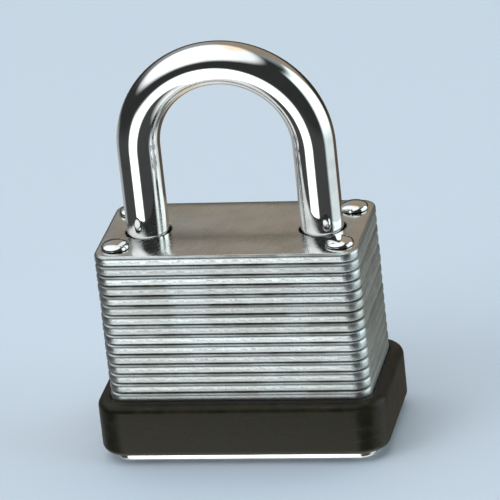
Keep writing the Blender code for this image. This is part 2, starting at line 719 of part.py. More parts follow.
def make_bumper(finishes):
    rings = []
    for out, height in bumper_section():
        outline = rounded_rectangle(
            BODY_WIDTH / 2 + out, BODY_DEPTH / 2 + out, BODY_CORNER + out, BUMPER_CORNER_STEPS
        )
        rings.append([(x, y, height) for x, y in outline])
    bumper = add_piece("bumper", joined_rings(rings, closed=True), finishes["bumper_rubber"])
    rib_inner = BODY_DEPTH / 2 - RIB_DEPTH
    rib_outer = BODY_DEPTH / 2 + PLATE_GAP + RIB_ROOT
    rib_low = plate_floor(2) + CLEARANCE
    rib_high = plate_top(2) - CLEARANCE
    for name, side in (("front_rib", -1), ("back_rib", 1)):
        near, far = sorted((side * rib_inner, side * rib_outer))
        outline = rectangle(-RIB_HALF_LENGTH, RIB_HALF_LENGTH, near, far)
        combine(bumper, name, prism([outline], rib_low, rib_high), "UNION")


def main():
    for old in list(bpy.data.objects):
        bpy.data.objects.remove(old, do_unlink=True)
    finishes = make_materials()
    make_bottom_plate(finishes)
    make_plates(finishes)
    make_rivets(finishes)
    make_bumper(finishes)
    make_shackle(finishes)
    make_heel_ring(finishes)
    make_housing(finishes)
    make_plug(finishes)
    make_pins(finishes)
    make_cam(finishes)
    make_dogs(finishes)
    make_springs(finishes)


main()
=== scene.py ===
"""Looks of a laminated safety padlock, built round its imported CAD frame.

Shapes are worked out in millimetres in the frame's own axes: +Z up, the shackle in the XZ plane,
the front of the body towards -Y. Each mesh is turned into metres as its object is made.
"""

import math
import random

import bmesh
import bpy
from mathutils import Matrix, Vector


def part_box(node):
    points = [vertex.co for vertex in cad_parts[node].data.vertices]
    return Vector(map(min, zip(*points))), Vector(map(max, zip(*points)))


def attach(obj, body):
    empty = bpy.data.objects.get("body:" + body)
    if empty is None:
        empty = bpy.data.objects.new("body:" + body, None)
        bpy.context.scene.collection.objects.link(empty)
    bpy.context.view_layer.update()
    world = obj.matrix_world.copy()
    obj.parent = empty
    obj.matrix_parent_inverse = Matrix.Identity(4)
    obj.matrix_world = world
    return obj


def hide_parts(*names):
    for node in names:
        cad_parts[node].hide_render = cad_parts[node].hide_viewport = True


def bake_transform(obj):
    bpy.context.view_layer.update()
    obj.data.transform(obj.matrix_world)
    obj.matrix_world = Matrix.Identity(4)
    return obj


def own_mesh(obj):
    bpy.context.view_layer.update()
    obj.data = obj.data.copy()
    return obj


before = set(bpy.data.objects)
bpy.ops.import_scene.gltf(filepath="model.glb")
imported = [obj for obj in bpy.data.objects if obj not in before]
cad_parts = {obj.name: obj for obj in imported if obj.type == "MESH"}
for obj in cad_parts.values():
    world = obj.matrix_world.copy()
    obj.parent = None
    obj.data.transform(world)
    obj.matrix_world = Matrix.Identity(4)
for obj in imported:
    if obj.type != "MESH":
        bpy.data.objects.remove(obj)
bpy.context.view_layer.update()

MM = 0.001
QUARTER = math.pi / 2

# The plate stack. Plates are numbered from 1, the bottom plate, up to the top plate.
BODY_HALF_X = 20.0
BODY_HALF_Y = 10.2
BODY_CORNER = 2.5
CORNER_STEPS = 9
PLATE_PITCH = 1.6
PLATE_COUNT = 21
LAST_CYLINDER_PLATE = 14
LAST_CAM_PLATE = 17
DOG_PLATES = (18, 19)
SHEARED_EDGE = (0.32, 0.50)
EDGE_STEPS = 4
PLATE_SHIFT = 0.035
PLATE_TURN = math.radians(0.07)
ROOM = 0.2

# The rivets.
RIVET_X = 17.0
RIVET_Y = 6.6
RIVET_HOLE = 1.6
RIVET_SINK_DEPTH = 0.8

# The bumper's ribs, which sit in notches of the lowest stacked plate.
RIB_HALF_X = 12.0
RIB_DEPTH = 1.3
RIB_BOTTOM = 1.8
RIB_TOP = 2.9

# The shackle. The heel groove is (bottom, top, radius).
BAR_RADIUS = 3.25
BAR_SIDES = 48
LEG_X = 13.3
TOE_Z = 22.6
ARCH_Z = 46.85
ARCH_STEPS = 56
SHACKLE_HOLE = 3.5
HEEL_ROOM = 4.5
NOTCH_DEPTH = 1.1
NOTCH_FLANK_Z = 25.25
NOTCH_TOP_Z = 30.5
HEEL_GROOVE = (9.3, 10.3, 2.6)

# The cylinder and the cam.
PLUG_RADIUS = 5.25
HOUSING_RADIUS = 6.6
RAIL_HALF_WIDTH = 2.3
RAIL_END_X = 13.0
COVER_END_X = 13.6
PIN_RADIUS = 1.2
PIN_EDGE = 0.25
CHAMBER_RADIUS = 1.4
CAM_RADIUS = 5.6


# ---- outlines and meshes ----

def arc(centre_x, centre_y, radius, start, end, steps):
    angles = [start + (end - start) * step / steps for step in range(steps + 1)]
    return [(centre_x + radius * math.cos(a), centre_y + radius * math.sin(a)) for a in angles]


def circle(centre_x, centre_y, radius, sides):
    return arc(centre_x, centre_y, radius, 0, math.tau, sides)[:-1]


def rounded_rectangle(half_x, half_y, radius, steps):
    points = []
    for quarter, (side_x, side_y) in enumerate(((1, 1), (-1, 1), (-1, -1), (1, -1))):
        start = quarter * QUARTER
        corner_x = side_x * (half_x - radius)
        corner_y = side_y * (half_y - radius)
        points += arc(corner_x, corner_y, radius, start, start + QUARTER, steps)
    return points


def inset(points, distance):
    """The outline moved inwards, or outwards for a negative distance, with mitred corners."""
    moved = []
    for before, here, after in zip(points[-1:] + points[:-1], points, points[1:] + points[:1]):
        arriving = (Vector(here) - Vector(before)).normalized()
        leaving = (Vector(after) - Vector(here)).normalized()
        first = Vector((-arriving.y, arriving.x))
        second = Vector((-leaving.y, leaving.x))
        mitre = (first + second) / (1 + first.dot(second))
        moved.append((here[0] + mitre.x * distance, here[1] + mitre.y * distance))
    return moved


def edge_profile(bottom, top, lower, upper):
    """(distance in from the side, height) up a plate's side, with its two edges rounded."""
    turns = [QUARTER * step / EDGE_STEPS for step in range(EDGE_STEPS + 1)]
    low = [(lower * (1 - math.sin(t)), bottom + lower * (1 - math.cos(t))) for t in turns]
    high = [(upper * (1 - math.cos(t)), top - upper * (1 - math.sin(t))) for t in turns]
    return low + high


def joined(mesh, rings, closed=False):
    """Adds rings of equal length to the mesh, with faces from each ring to the next."""
    made = [[mesh.verts.new(point) for point in ring] for ring in rings]
    pairs = zip(made, made[1:] + made[:1]) if closed else zip(made, made[1:])
    for lower, upper in pairs:
        count = len(lower)
        for i in range(count):
            j = (i + 1) % count
            mesh.faces.new((lower[i], lower[j], upper[j], upper[i]))
    return made


def filled(mesh, loops):
    """Fills the flat area inside the first loop and outside the others."""
    edges = []
    for loop in loops:
        for pair in zip(loop, loop[1:] + loop[:1]):
            edges.append(mesh.edges.get(pair) or mesh.edges.new(pair))
    bmesh.ops.triangle_fill(mesh, use_beauty=True, edges=edges, normal=(0, 0, 1))


def at_height(points, z):
    return [(x, y, z) for x, y in points]


def slab(outline, profile, holes):
    """A plate whose side follows the profile. Each hole is a list of loops from bottom to top."""
    mesh = bmesh.new()
    walls = [joined(mesh, [at_height(inset(outline, inward), z) for inward, z in profile])]
    walls += [joined(mesh, hole) for hole in holes]
    filled(mesh, [wall[0] for wall in walls])
    filled(mesh, [wall[-1] for wall in walls])
    return mesh


def turned(profile, sides):
    """(radius, height) points turned about Z; the first and the last lie on the axis."""
    mesh = bmesh.new()
    rings = [at_height(circle(0, 0, radius, sides), z) for radius, z in profile[1:-1]]
    made = joined(mesh, rings)
    for ring, (_, z) in ((made[0], profile[0]), (made[-1], profile[-1])):
        tip = mesh.verts.new((0, 0, z))
        for pair in zip(ring, ring[1:] + ring[:1]):
            mesh.faces.new((*pair, tip))
    return mesh


def tube(centres, radius, sides):
    """A round wire along a line of points, with flat ends."""
    mesh = bmesh.new()
    centres = [Vector(point) for point in centres]
    rings = []
    across = None
    for number, centre in enumerate(centres):
        before = centres[max(number - 1, 0)]
        after = centres[min(number + 1, len(centres) - 1)]
        along = (after - before).normalized()
        across = along.orthogonal() if across is None else across
        across = (across - along * across.dot(along)).normalized()
        other = along.cross(across)
        ring = [centre + radius * (x * across + y * other) for x, y in circle(0, 0, 1, sides)]
        rings.append(ring)
    made = joined(mesh, rings)
    mesh.faces.new(made[0])
    mesh.faces.new(made[-1])
    return mesh


def add(name, mesh, finish, body, node, sharp=35, at=(0, 0, 0), rotation=(0, 0, 0)):
    """Makes the piece in metres, in place of a CAD node. It rides on the body, if one is given."""
    place = Matrix.Translation(Vector(at)) @ Matrix.Rotation(rotation[2], 4, "Z")
    place = place @ Matrix.Rotation(rotation[1], 4, "Y")
    mesh.transform(Matrix.Scale(MM, 4) @ place)
    bmesh.ops.recalc_face_normals(mesh, faces=mesh.faces[:])
    data = bpy.data.meshes.new(name)
    mesh.to_mesh(data)
    mesh.free()
    data.shade_smooth()
    data.set_sharp_from_angle(angle=math.radians(sharp))
    data.materials.append(finish)
    piece = bpy.data.objects.new(name, data)
    bpy.context.scene.collection.objects.link(piece)
    if body:
        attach(piece, body)
    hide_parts(node)
    return piece


def shape_of(mesh, name="cutter"):
    """A plain object of a mesh in millimetres, for a Boolean."""
    data = bpy.data.meshes.new(name)
    bmesh.ops.recalc_face_normals(mesh, faces=mesh.faces[:])
    mesh.to_mesh(data)
    mesh.free()
    made = bpy.data.objects.new(name, data)
    bpy.context.scene.collection.objects.link(made)
    return made


def combined(mesh, parts):
    """The mesh with each (operation, mesh) of the parts cut from it or joined to it."""
    base = shape_of(mesh, "base")
    helpers = [base]
    for operation, part in parts:
        helper = shape_of(part)
        modifier = base.modifiers.new("step", "BOOLEAN")
        modifier.operation = operation
        modifier.solver = "EXACT"
        modifier.object = helper
        helpers.append(helper)
    graph = bpy.context.evaluated_depsgraph_get()
    data = bpy.data.meshes.new_from_object(base.evaluated_get(graph))
    result = bmesh.new()
    result.from_mesh(data)
    bmesh.ops.dissolve_degenerate(result, dist=0.002, edges=result.edges[:])
    for helper in helpers:
        bpy.data.objects.remove(helper, do_unlink=True)
    return result


def prism(outline, bottom, top):
    mesh = bmesh.new()
    made = joined(mesh, [at_height(outline, bottom), at_height(outline, top)])
    mesh.faces.new(made[0])
    mesh.faces.new(made[1])
    return mesh


# ---- materials ----

def node(tree, kind, settings=None, **inputs):
    """Adds a shader node. An input, i0, i1... or a name, is a socket to link from or a plain value."""
    made = tree.nodes.new(kind)
    for key, value in (settings or {}).items():
        setattr(made, key, value)
    for key, value in inputs.items():
        numbered = key[0] == "i" and key[1:].isdigit()
        socket = made.inputs[int(key[1:]) if numbered else key]
        if isinstance(value, bpy.types.NodeSocket):
            tree.links.new(value, socket)
        else:
            socket.default_value = value
    return made


def calc(tree, operation, first, second=0.0, third=0.0, clamp=False):
    settings = {"operation": operation, "use_clamp": clamp}
    return node(tree, "ShaderNodeMath", settings, i0=first, i1=second, i2=third).outputs[0]


def ramp(tree, value, from_low, from_high, to_low, to_high):
    """The value taken smoothly from one range to another."""
    made = node(
        tree, "ShaderNodeMapRange", {"interpolation_type": "SMOOTHSTEP"}, i0=value,
        i1=from_low, i2=from_high, i3=to_low, i4=to_high,
    )
    return made.outputs[0]


def blend(tree, factor, first, second):
    made = node(tree, "ShaderNodeMix", {"data_type": "RGBA"})
    for index, value in ((0, factor), (6, first), (7, second)):
        if isinstance(value, bpy.types.NodeSocket):
            tree.links.new(value, made.inputs[index])
        else:
            made.inputs[index].default_value = value if index == 0 else (*value, 1.0)
    return made.outputs[2]


def millimetres(tree, scale=(1, 1, 1)):
    """The place on the object in millimetres, stretched by the scale."""
    place = node(tree, "ShaderNodeTexCoord").outputs["Object"]
    factor = tuple(s / MM for s in scale)
    return node(tree, "ShaderNodeVectorMath", {"operation": "MULTIPLY"}, i0=place, i1=factor).outputs[0]


def grain(tree, vector, scale, detail=3.0, roughness=0.5):
    made = node(
        tree, "ShaderNodeTexNoise", None,
        Vector=vector, Scale=scale, Detail=detail, Roughness=roughness,
    )
    return made.outputs["Fac"]


def bump(tree, shader, height, strength, depth_mm):
    made = node(tree, "ShaderNodeBump", None, Strength=strength, Distance=depth_mm * MM, Height=height)
    tree.links.new(made.outputs[0], shader.inputs["Normal"])


def start_material(name, metallic, **constants):
    made = bpy.data.materials.new(name)
    made.use_nodes = True
    tree = made.node_tree
    shader = tree.nodes["Principled BSDF"]
    shader.inputs["Metallic"].default_value = metallic
    for key, value in constants.items():
        shader.inputs[key.replace("_", " ")].default_value = value
    return made, tree, shader


def set_inputs(tree, shader, colour, roughness):
    tree.links.new(colour, shader.inputs["Base Color"])
    tree.links.new(roughness, shader.inputs["Roughness"])


def scratches(tree, scale, width):
    """Thin lines in three directions, from 0 where there is none to 1 on one."""
    lines = []
    for angle, stretch in ((0.5, (1.0, 0.05, 1.0)), (-0.9, (0.06, 1.0, 1.0)), (0.1, (1.0, 0.03, 1.0))):
        place = millimetres(tree)
        turned_place = node(
            tree, "ShaderNodeVectorRotate", {"rotation_type": "Z_AXIS"}, Vector=place, Angle=angle
        ).outputs[0]
        stretched = node(
            tree, "ShaderNodeVectorMath", {"operation": "MULTIPLY"}, i0=turned_place, i1=stretch
        ).outputs[0]
        value = grain(tree, stretched, scale, 2.0)
        away = calc(tree, "ABSOLUTE", calc(tree, "SUBTRACT", value, 0.5))
        lines.append(ramp(tree, away, 0.0, width, 1.0, 0.0))
    return calc(tree, "MAXIMUM", lines[0], calc(tree, "MAXIMUM", lines[1], lines[2]))


def plate_steel():
    """Nickel-plated sheared steel: marks up the sides, a tone for each plate, grime and painted shade in
    the joints, painted shade towards the left end.
    """
    clean, stained, left_shade = (0.605, 0.67, 0.695), (0.55, 0.585, 0.57), (0.40, 0.41, 0.40)
    dull, speck, mark = (0.46, 0.48, 0.47), (0.30, 0.29, 0.25), (0.36, 0.365, 0.35)
    torn_metal, grime_and_shade = (0.34, 0.335, 0.31), (0.075, 0.066, 0.048)
    made, tree, shader = start_material("plate_steel", 1.0)
    place = millimetres(tree)
    across, _, height = node(tree, "ShaderNodeSeparateXYZ", None, i0=place).outputs
    row = calc(tree, "DIVIDE", height, PLATE_PITCH)
    within = calc(tree, "FRACT", row)
    number = calc(tree, "FLOOR", row)
    tone = node(tree, "ShaderNodeTexWhiteNoise", {"noise_dimensions": "1D"}, W=number).outputs["Value"]
    marks = grain(tree, millimetres(tree, (1.0, 1.0, 0.10)), 4.5, 4.0, 0.6)
    streaks = grain(tree, millimetres(tree, (1.0, 1.0, 0.06)), 1.3, 3.0, 0.6)
    marks = calc(tree, "MULTIPLY_ADD", marks, 0.6, calc(tree, "MULTIPLY", streaks, 0.4))
    patches = grain(tree, place, 0.14, 3.0)
    specks = grain(tree, place, 2.2, 5.0, 0.65)
    torn_edge = calc(tree, "MULTIPLY_ADD", calc(tree, "SUBTRACT", streaks, 0.5), 0.9, within)
    torn = ramp(tree, torn_edge, 0.34, 0.44, 1.0, 0.0)
    # Painted shade: the joints between plates are darkened, partly as grime and partly as the shade that
    # falls in the grooves.
    low_joint = ramp(tree, within, 0.02, 0.20, 1.0, 0.0)
    high_joint = ramp(tree, within, 0.66, 0.90, 0.0, 1.0)
    joint_grime_and_shade = calc(tree, "MAXIMUM", low_joint, high_joint)
    joint_grime_and_shade = calc(tree, "MULTIPLY", joint_grime_and_shade, ramp(tree, patches, 0.38, 0.62, 0.20, 0.78))
    # The painted joint shade is weaker towards the bottom of the stack.
    joint_grime_and_shade = calc(tree, "MULTIPLY", joint_grime_and_shade, ramp(tree, height, 8.0, 26.0, 0.45, 1.0))
    metal = blend(tree, ramp(tree, patches, 0.3, 0.7, 0.0, 1.0), clean, stained)
    # Painted shade: the plates are darker towards the left end, at -X.
    metal = blend(tree, ramp(tree, across, -18.0, 18.0, 0.22, 0.0), metal, left_shade)
    metal = blend(tree, calc(tree, "MULTIPLY", tone, 0.35), metal, dull)
    metal = blend(tree, ramp(tree, specks, 0.60, 0.72, 0.0, 0.35), metal, speck)
    metal = blend(tree, ramp(tree, marks, 0.42, 0.66, 0.0, 0.30), metal, mark)
    metal = blend(tree, calc(tree, "MULTIPLY", torn, 0.22), metal, torn_metal)
    colour = blend(tree, joint_grime_and_shade, metal, grime_and_shade)
    rough = calc(tree, "MULTIPLY_ADD", marks, 0.26, 0.17)
    rough = calc(tree, "MULTIPLY_ADD", tone, 0.10, rough)
    rough = calc(tree, "MULTIPLY_ADD", torn, 0.12, rough)
    rough = calc(tree, "MULTIPLY_ADD", joint_grime_and_shade, 0.25, rough)
    set_inputs(tree, shader, colour, rough)
    relief = calc(tree, "MULTIPLY_ADD", specks, 0.4, marks)
    torn_relief = calc(tree, "MULTIPLY", torn, specks)
    bump(tree, shader, calc(tree, "MULTIPLY_ADD", torn_relief, 0.5, relief), 0.7, 0.06)
    return made


def polished_steel():
    """The end plates' bright nickel, with fine handling scratches and a few stains."""
    clean, stained, scratch = (0.72, 0.73, 0.72), (0.60, 0.60, 0.57), (0.42, 0.42, 0.41)
    made, tree, shader = start_material("top_steel", 1.0)
    place = millimetres(tree)
    patches = grain(tree, place, 0.18, 4.0)
    fine = scratches(tree, 0.9, 0.012)
    metal = blend(tree, ramp(tree, patches, 0.35, 0.7, 0.0, 1.0), clean, stained)
    colour = blend(tree, calc(tree, "MULTIPLY", fine, 0.25), metal, scratch)
    rough = calc(tree, "MULTIPLY_ADD", fine, 0.16, ramp(tree, patches, 0.3, 0.75, 0.09, 0.22))
    set_inputs(tree, shader, colour, rough)
    waves = grain(tree, place, 0.55, 2.0)
    bump(tree, shader, calc(tree, "MULTIPLY_ADD", fine, -0.10, waves), 0.35, 0.035)
    return made


def chrome():
    """Bright chrome, not quite even, with faint wear lines that run round the shackle's legs."""
    bright, dull = (0.80, 0.81, 0.82), (0.70, 0.70, 0.70)
    made, tree, shader = start_material("chrome", 1.0)
    place = millimetres(tree)
    patches = grain(tree, place, 0.3, 4.0)
    wear = grain(tree, millimetres(tree, (0.4, 0.4, 5.0)), 1.6, 3.0)
    metal = blend(tree, ramp(tree, patches, 0.4, 0.75, 0.0, 1.0), bright, dull)
    rough = calc(tree, "MULTIPLY_ADD", ramp(tree, wear, 0.55, 0.8, 0.0, 1.0), 0.10, 0.035)
    rough = calc(tree, "MULTIPLY_ADD", patches, 0.03, rough)
    set_inputs(tree, shader, metal, rough)
    bump(tree, shader, grain(tree, place, 0.5, 2.0), 0.12, 0.03)
    return made


def rubber():
    """Black moulded rubber, with a fine grain, uneven ageing and pale scuffs."""
    black, aged, scuffed = (0.0045, 0.0043, 0.0026), (0.018, 0.016, 0.009), (0.060, 0.056, 0.046)
    made, tree, shader = start_material(
        "bumper_rubber", 0.0, Specular_IOR_Level=0.22, Sheen_Weight=0.03,
        Specular_Tint=(1.0, 0.95, 0.78, 1.0),
    )
    place = millimetres(tree)
    patches = grain(tree, place, 0.28, 5.0, 0.7)
    skin = grain(tree, place, 5.5, 4.0, 0.6)
    scuffs = grain(tree, millimetres(tree, (0.25, 0.25, 1.6)), 1.1, 4.0)
    scuffs = ramp(tree, scuffs, 0.60, 0.75, 0.0, 1.0)
    dark = blend(tree, ramp(tree, patches, 0.35, 0.7, 0.0, 1.0), black, aged)
    colour = blend(tree, calc(tree, "MULTIPLY", scuffs, 0.30), dark, scuffed)
    rough = calc(tree, "MULTIPLY_ADD", scuffs, 0.12, ramp(tree, patches, 0.3, 0.7, 0.32, 0.46))
    set_inputs(tree, shader, colour, rough)
    bump(tree, shader, skin, 0.5, 0.05)
    return made


def brass():
    """Turned brass, dulled, with rings from the lathe about Z."""
    bright, dull, scratch = (0.72, 0.54, 0.27), (0.60, 0.44, 0.21), (0.82, 0.68, 0.42)
    made, tree, shader = start_material("brass", 1.0)
    place = millimetres(tree)
    patches = grain(tree, place, 0.5, 4.0)
    lathe = node(
        tree, "ShaderNodeTexWave", {"wave_type": "RINGS", "rings_direction": "Z"},
        Vector=place, Scale=2.4, Distortion=0.6, Detail=2.0,
    ).outputs["Fac"]
    fine = scratches(tree, 1.4, 0.014)
    metal = blend(tree, ramp(tree, patches, 0.35, 0.7, 0.0, 1.0), bright, dull)
    colour = blend(tree, calc(tree, "MULTIPLY", fine, 0.3), metal, scratch)
    rough = calc(tree, "MULTIPLY_ADD", lathe, 0.08, ramp(tree, patches, 0.3, 0.7, 0.22, 0.38))
    set_inputs(tree, shader, colour, rough)
    bump(tree, shader, calc(tree, "MULTIPLY_ADD", fine, -0.6, lathe), 0.3, 0.012)
    return made


def dark_steel():
    """Hardened steel with a dark oiled finish."""
    black, rubbed = (0.16, 0.16, 0.17), (0.28, 0.27, 0.26)
    made, tree, shader = start_material("dark_steel", 0.9)
    place = millimetres(tree)
    patches = grain(tree, place, 0.6, 5.0, 0.6)
    pits = grain(tree, place, 6.0, 3.0)
    metal = blend(tree, ramp(tree, patches, 0.35, 0.7, 0.0, 1.0), black, rubbed)
    set_inputs(tree, shader, metal, ramp(tree, patches, 0.3, 0.7, 0.34, 0.52))
    bump(tree, shader, pits, 0.3, 0.015)
    return made


def spring_steel():
    """Drawn wire and thin sheet, with streaks and a little oil."""
    clean, oiled = (0.52, 0.53, 0.55), (0.38, 0.37, 0.35)
    made, tree, shader = start_material("spring_steel", 1.0)
    place = millimetres(tree)
    patches = grain(tree, place, 1.1, 4.0)
    streaks = grain(tree, millimetres(tree, (3.0, 3.0, 0.6)), 2.5, 3.0)
    metal = blend(tree, ramp(tree, patches, 0.35, 0.7, 0.0, 1.0), clean, oiled)
    set_inputs(tree, shader, metal, ramp(tree, streaks, 0.3, 0.7, 0.18, 0.36))
    bump(tree, shader, streaks, 0.25, 0.01)
    return made


FINISHES = {
    "plate_steel": plate_steel(),
    "top_steel": polished_steel(),
    "chrome": chrome(),
    "bumper_rubber": rubber(),
    "brass": brass(),
    "dark_steel": dark_steel(),
    "spring_steel": spring_steel(),
}


# ---- the plate stack ----

def keyhole(radius, rail_half_width, rail_end_x):
    """A circle with a straight rail that runs from it towards -X."""
    meeting = math.pi - math.asin(rail_half_width / radius)
    rail = [(-rail_end_x, rail_half_width), (-rail_end_x, -rail_half_width)]
    return arc(0, 0, radius, -meeting, meeting, 48) + rail


def dog_cavity():
    """The room for both locking dogs, open at each end into a shackle hole."""
    half_x, half_y, channel = 9.2, 6.1, 3.0
    mouth = math.pi - math.asin(channel / SHACKLE_HOLE)
    half = [(half_x, -half_y), (half_x, -channel)]
    half += arc(LEG_X, 0, SHACKLE_HOLE, -mouth, mouth, 30)
    half += [(half_x, channel), (half_x, half_y)]
    return half + [(-x, -y) for x, y in half]


def straight_hole(outline, bottom, top):
    return [at_height(outline, bottom), at_height(outline, top)]


def rounded_hole(x, y, radius, bottom, top, rounding, sides):
    profile = edge_profile(bottom, top, rounding, rounding)
    return [at_height(circle(x, y, radius + wider, sides), z) for wider, z in profile]


def rivet_spots():
    return [(x, y) for x in (-RIVET_X, RIVET_X) for y in (-RIVET_Y, RIVET_Y)]


def cutouts(number, bottom, top):
    """The openings of a plate above the bottom plate, apart from its rivet holes."""
    if number <= LAST_CYLINDER_PLATE:
        cylinder_room = keyhole(HOUSING_RADIUS + ROOM, RAIL_HALF_WIDTH + ROOM, COVER_END_X + ROOM)
        heel_room = circle(LEG_X, 0, HEEL_ROOM, 40)
        return [straight_hole(cylinder_room, bottom, top), straight_hole(heel_room, bottom, top)]
    if number in DOG_PLATES:
        return [straight_hole(dog_cavity(), bottom, top)]
    rounding = 0.3 if number == PLATE_COUNT else 0.05
    holes = [
        rounded_hole(x, 0, SHACKLE_HOLE, bottom, top, rounding, 48) for x in (-LEG_X, LEG_X)
    ]
    if number <= LAST_CAM_PLATE:
        holes.append(straight_hole(circle(0, 0, CAM_RADIUS + ROOM, 48), bottom, top))
    return holes


def ribbed(outline):
    """The outline with a shallow notch at front and back for the bumper's ribs."""
    notch_x, notch_y = RIB_HALF_X + ROOM, BODY_HALF_Y - RIB_DEPTH - ROOM
    back = [(notch_x, BODY_HALF_Y), (notch_x, notch_y), (-notch_x, notch_y), (-notch_x, BODY_HALF_Y)]
    front = [(-x, -y) for x, y in back]
    quarter = CORNER_STEPS + 1
    return outline[:quarter] + back + outline[quarter:3 * quarter] + front + outline[3 * quarter:]


def make_plates():
    outline = rounded_rectangle(BODY_HALF_X, BODY_HALF_Y, BODY_CORNER, CORNER_STEPS)
    draw = random.Random(21)
    for number in range(2, PLATE_COUNT + 1):
        last = number == PLATE_COUNT
        name = "top_plate" if last else f"plate_{number:02d}"
        low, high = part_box(name)
        bottom, top = low.z / MM, high.z / MM
        holes = [straight_hole(circle(x, y, RIVET_HOLE, 20), bottom, top) for x, y in rivet_spots()]
        holes += cutouts(number, bottom, top)
        profile = edge_profile(bottom, top, *SHEARED_EDGE)
        shape = slab(ribbed(outline) if number == 2 else outline, profile, holes)
        shift = (draw.uniform(-1, 1) * PLATE_SHIFT, draw.uniform(-1, 1) * PLATE_SHIFT, 0)
        turn = draw.uniform(-1, 1) * PLATE_TURN
        slot = "top_steel" if last else "plate_steel"
        finish = FINISHES[slot]
        piece = add(name + "_sheared", shape, finish, "body", name, 30, shift, (0, 0, turn))
        if last:
            give_side_finish(piece)


def give_side_finish(piece):
    """Paints the rim of the top plate as the other plates' sides are, all but its flat faces."""
    piece.data.materials.append(FINISHES["plate_steel"])
    nearly_flat = 0.93
    for face in piece.data.polygons:
        centre = face.center / MM
        past_x = abs(centre.x) - BODY_HALF_X + BODY_CORNER
        past_y = abs(centre.y) - BODY_HALF_Y + BODY_CORNER
        if max(past_x, past_y) > 0 and abs(face.normal.z) < nearly_flat:
            face.material_index = 1


def make_bottom_plate():
    face_hole, drain_hole, rounding = 5.7, 1.4, 0.15
    sink_radius = 2.4
    low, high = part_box("bottom_plate")
    bottom, top = low.z / MM, high.z / MM
    outline = rounded_rectangle(BODY_HALF_X, BODY_HALF_Y, BODY_CORNER, CORNER_STEPS)
    holes = [
        rounded_hole(0, 0, face_hole, bottom, top, rounding, 64),
        rounded_hole(LEG_X, 0, drain_hole, bottom, top, rounding, 24),
    ]
    sink = ((sink_radius, bottom), (RIVET_HOLE, bottom + RIVET_SINK_DEPTH), (RIVET_HOLE, top))
    for x, y in rivet_spots():
        holes.append([at_height(circle(x, y, radius, 32), z) for radius, z in sink])
    shape = slab(outline, edge_profile(bottom, top, 0.45, 0.25), holes)
    finish = FINISHES["top_steel"]
    add("bottom_plate_sheared", shape, finish, "body", "bottom_plate", 30)


def rivet_profile():
    """Up the axis: a foot peened flush into its sink, the shank, and a domed head on the top plate."""
    head_radius, head_height, lip, dome_steps = 2.15, 1.0, 0.16, 10
    foot_radius, shank, foot, seat = 2.2, 1.5, 0.05, 33.6
    fullness = 0.85
    dome = []
    for step in range(dome_steps):
        turn = QUARTER * step / dome_steps
        radius = head_radius * math.cos(turn) ** fullness
        dome.append((radius, seat + lip + (head_height - lip) * math.sin(turn)))
    return [
        (0, foot), (foot_radius - 0.45, foot), (foot_radius - 0.05, foot + 0.03),
        (foot_radius, foot + 0.08), (shank, foot + RIVET_SINK_DEPTH), (shank, seat - 0.05),
        (head_radius - 0.12, seat), (head_radius, seat + 0.06),
        *dome, (0, seat + head_height),
    ]


def make_rivets():
    finish = FINISHES["chrome"]
    for name in ("rivet_front_left", "rivet_front_right", "rivet_back_left", "rivet_back_right"):
        low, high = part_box(name)
        centre = (low + high) / 2 / MM
        shape = turned(rivet_profile(), 40)
        add(name + "_head", shape, finish, "body", name, 40, (centre.x, centre.y, 0))


# ---- the shackle ----

def bar_ring(centre_x, centre_z, lean, radius, notch=0.0):
    """A ring of the bar. The lean is its outer side's angle from +X. A notch flattens the inner side."""
    points = []
    for side in range(BAR_SIDES):
        turn = math.tau * (side + 0.5) / BAR_SIDES
        out = max(radius * math.cos(turn), notch - BAR_RADIUS) if notch else radius * math.cos(turn)
        points.append((
            centre_x + out * math.cos(lean),
            radius * math.sin(turn),
            centre_z + out * math.sin(lean),
        ))
    return points


def leg_levels(end_z):
    """(height, radius, notch depth) up a leg from its rounded end."""
    rounding, round_steps = 0.7, 5
    chamfer, flank_steps = 0.08, 8
    levels = []
    for step in range(round_steps + 1):
        turn = QUARTER * step / round_steps
        height = end_z + rounding * (1 - math.cos(turn))
        levels.append((height, BAR_RADIUS - rounding * (1 - math.sin(turn)), 0))
    groove_z, groove_top, groove_radius = HEEL_GROOVE
    if end_z < groove_z:
        levels += [
            (groove_z - chamfer, BAR_RADIUS, 0), (groove_z, BAR_RADIUS - chamfer, 0),
            (groove_z, groove_radius, 0), (groove_top, groove_radius, 0),
            (groove_top, BAR_RADIUS - chamfer, 0), (groove_top + chamfer, BAR_RADIUS, 0),
        ]
    levels.append((NOTCH_FLANK_Z, BAR_RADIUS, 0))
    for step in range(1, flank_steps + 1):
        depth = NOTCH_DEPTH * step / flank_steps
        levels.append((NOTCH_FLANK_Z + depth, BAR_RADIUS, depth))
    levels += [
        (NOTCH_TOP_Z - 0.10, BAR_RADIUS, NOTCH_DEPTH), (NOTCH_TOP_Z, BAR_RADIUS, NOTCH_DEPTH - 0.10),
        (NOTCH_TOP_Z + 0.02, BAR_RADIUS, 0.06), (NOTCH_TOP_Z + 0.08, BAR_RADIUS, 0),
    ]
    return levels


def make_shackle():
    heel_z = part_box("shackle")[0].z / MM
    rings = [bar_ring(LEG_X, z, 0, radius, notch) for z, radius, notch in leg_levels(heel_z)]
    for step in range(ARCH_STEPS + 1):
        lean = math.pi * step / ARCH_STEPS
        across, up = LEG_X * math.cos(lean), LEG_X * math.sin(lean)
        rings.append(bar_ring(across, ARCH_Z + up, lean, BAR_RADIUS))
    toe = reversed(leg_levels(TOE_Z))
    rings += [bar_ring(-LEG_X, z, math.pi, radius, notch) for z, radius, notch in toe]
    mesh = bmesh.new()
    made = joined(mesh, rings)
    mesh.faces.new(made[0])
    mesh.faces.new(made[-1])
    add("shackle_bar", mesh, FINISHES["chrome"], "shackle", "shackle", 38)


# ---- the rim bumper ----

